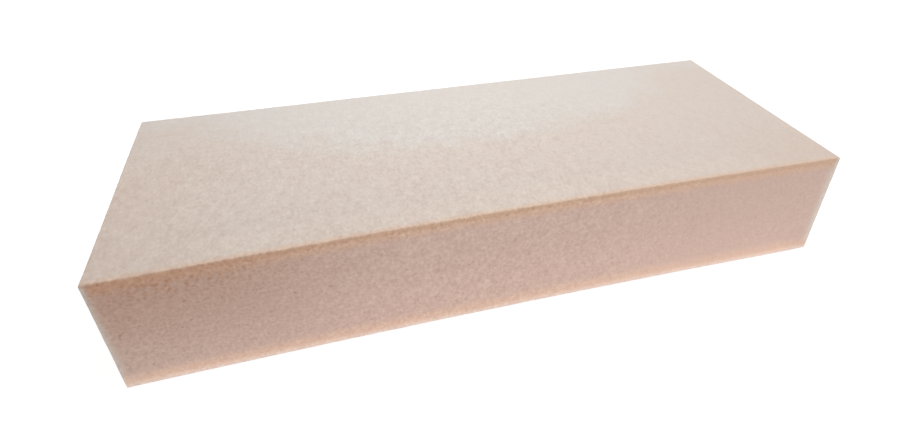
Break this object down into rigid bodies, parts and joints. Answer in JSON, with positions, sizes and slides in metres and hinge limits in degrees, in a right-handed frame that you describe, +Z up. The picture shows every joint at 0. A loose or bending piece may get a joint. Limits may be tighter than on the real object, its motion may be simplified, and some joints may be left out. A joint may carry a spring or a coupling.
{
  "type": "foam block",
  "caption": "Long, low block of fine-celled foam with sawn faces, crisp edges and a slightly hollow front face.",
  "frame": {"origin": "on the rest face, under the middle of the block", "axes": "+X along the length, +Y from the hollow front face to the back face, +Z up through the sheet's thickness"},
  "size_m": [0.3, 0.115, 0.051],
  "materials": {
    "foam": "open fine-celled polyurethane foam, matt, cream with a blush on the sawn sides"
  },
  "bodies": {
    "root": {"foam_block": "foam"}
  },
  "joints": []
}
